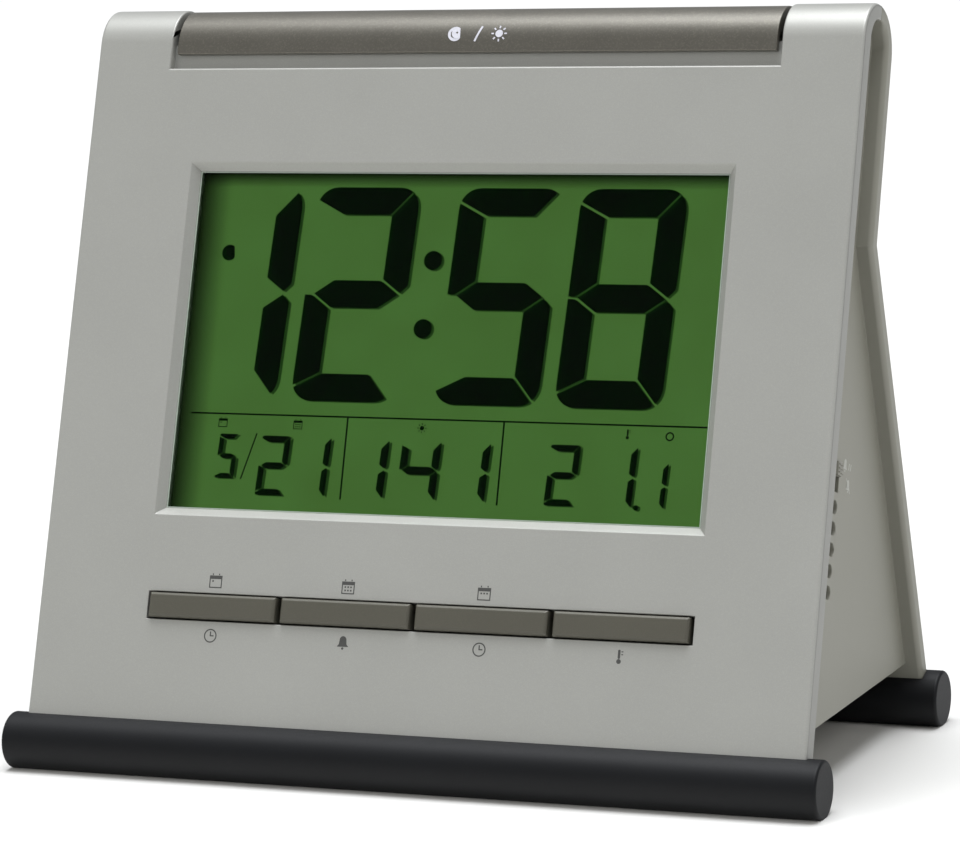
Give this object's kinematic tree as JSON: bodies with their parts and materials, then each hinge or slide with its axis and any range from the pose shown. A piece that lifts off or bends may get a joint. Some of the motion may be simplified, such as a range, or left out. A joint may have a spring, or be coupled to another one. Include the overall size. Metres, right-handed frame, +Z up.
{
  "type": "desk alarm clock",
  "caption": "Desk alarm clock: a leaning display slab and a rear leg on two rubber bars, with a snooze bar, setting keys and a side switch.",
  "frame": {"origin": "on the table, midway between the two feet and midway along them", "axes": "+Z up, +X towards the right-hand side of the display as its user sees it, -Y towards the user"},
  "size_m": [0.13, 0.0674, 0.112],
  "materials": {
    "front_plastic": "fine satin grey paint on moulded plastic",
    "rear_plastic": "satin warm grey moulded plastic",
    "foot_rubber": "smooth near-black rubber",
    "bar_plastic": "taupe paint with a fine metallic flake",
    "key_plastic": "satin taupe plastic",
    "clear_lens": "clear acrylic, polished",
    "white_plastic": "matte white plastic",
    "lcd_glass": "green liquid crystal display with dark segments",
    "white_film": "thin matte white film",
    "clear_guide": "clear acrylic light guide",
    "green_leds": "clear green resin",
    "pink_rubber": "pink silicone with black conducting layers",
    "circuit_board": "green solder mask over glass fibre",
    "black_resin": "glossy black potting resin",
    "bright_metal": "bright nickel plating",
    "component_plastic": "small ceramic and plastic parts",
    "switch_plastic": "matte black plastic",
    "switch_metal": "stamped tinned steel",
    "knob_plastic": "satin grey plastic",
    "cell_jacket": "plain printed film over a steel can",
    "red_wire": "red insulation",
    "black_wire": "black insulation",
    "white_wire": "white insulation",
    "screw_steel": "zinc-plated steel"
  },
  "bodies": {
    "clock_body": {"front_shell": "front_plastic", "rear_housing": "rear_plastic", "front_foot": "foot_rubber", "rear_foot": "foot_rubber", "display_lens": "clear_lens", "lcd_frame": "white_plastic", "lcd_panel": "lcd_glass", "diffuser_film": "white_film", "light_guide": "clear_guide", "reflector_film": "white_film", "backlight_leds": "green_leds", "elastomer_strip": "pink_rubber", "main_board": "circuit_board", "controller_chip": "black_resin", "quartz_crystal": "bright_metal", "board_components": "component_plastic", "key_switches": "switch_plastic", "snooze_switches": "switch_plastic", "alarm_switch": "switch_metal", "buzzer": "switch_plastic", "temperature_sensor": "black_resin", "upper_cell": "cell_jacket", "lower_cell": "cell_jacket", "contact_springs": "bright_metal", "contact_plates": "bright_metal", "positive_wire": "red_wire", "negative_wire": "black_wire", "buzzer_wires": "black_wire", "switch_wires": "white_wire", "housing_screws": "screw_steel", "board_screws": "screw_steel"},
    "snooze_bar": {"snooze_bar": "bar_plastic"},
    "month_key": {"month_key": "key_plastic"},
    "date_key": {"date_key": "key_plastic"},
    "year_key": {"year_key": "key_plastic"},
    "unit_key": {"unit_key": "key_plastic"},
    "alarm_knob": {"alarm_knob": "knob_plastic"},
    "battery_door": {"battery_door": "rear_plastic"}
  },
  "joints": [
    {"name": "snooze_bar_press", "type": "slide", "parent": "clock_body", "child": "snooze_bar", "axis": [0, -0.3322, -0.9432], "range_m": [0, 0.0009], "stiffness_N_per_m": 900, "springref_m": -0.001},
    {"name": "month_key_press", "type": "slide", "parent": "clock_body", "child": "month_key", "axis": [0, 0.9432, -0.3322], "range_m": [0, 0.0006], "stiffness_N_per_m": 900, "springref_m": -0.0008},
    {"name": "date_key_press", "type": "slide", "parent": "clock_body", "child": "date_key", "axis": [0, 0.9432, -0.3322], "range_m": [0, 0.0006], "stiffness_N_per_m": 900, "springref_m": -0.0008},
    {"name": "year_key_press", "type": "slide", "parent": "clock_body", "child": "year_key", "axis": [0, 0.9432, -0.3322], "range_m": [0, 0.0006], "stiffness_N_per_m": 900, "springref_m": -0.0008},
    {"name": "unit_key_press", "type": "slide", "parent": "clock_body", "child": "unit_key", "axis": [0, 0.9432, -0.3322], "range_m": [0, 0.0006], "stiffness_N_per_m": 900, "springref_m": -0.0008},
    {"name": "alarm_knob_slide", "type": "slide", "parent": "clock_body", "child": "alarm_knob", "axis": [0, -0.3322, -0.9432], "range_m": [0, 0.00225]},
    {"name": "battery_door_hinge", "type": "hinge", "parent": "clock_body", "child": "battery_door", "pos_m": [0, 0.02619, 0.01611], "axis": [-1, 0, 0], "range_deg": [0, 75]}
  ]
}
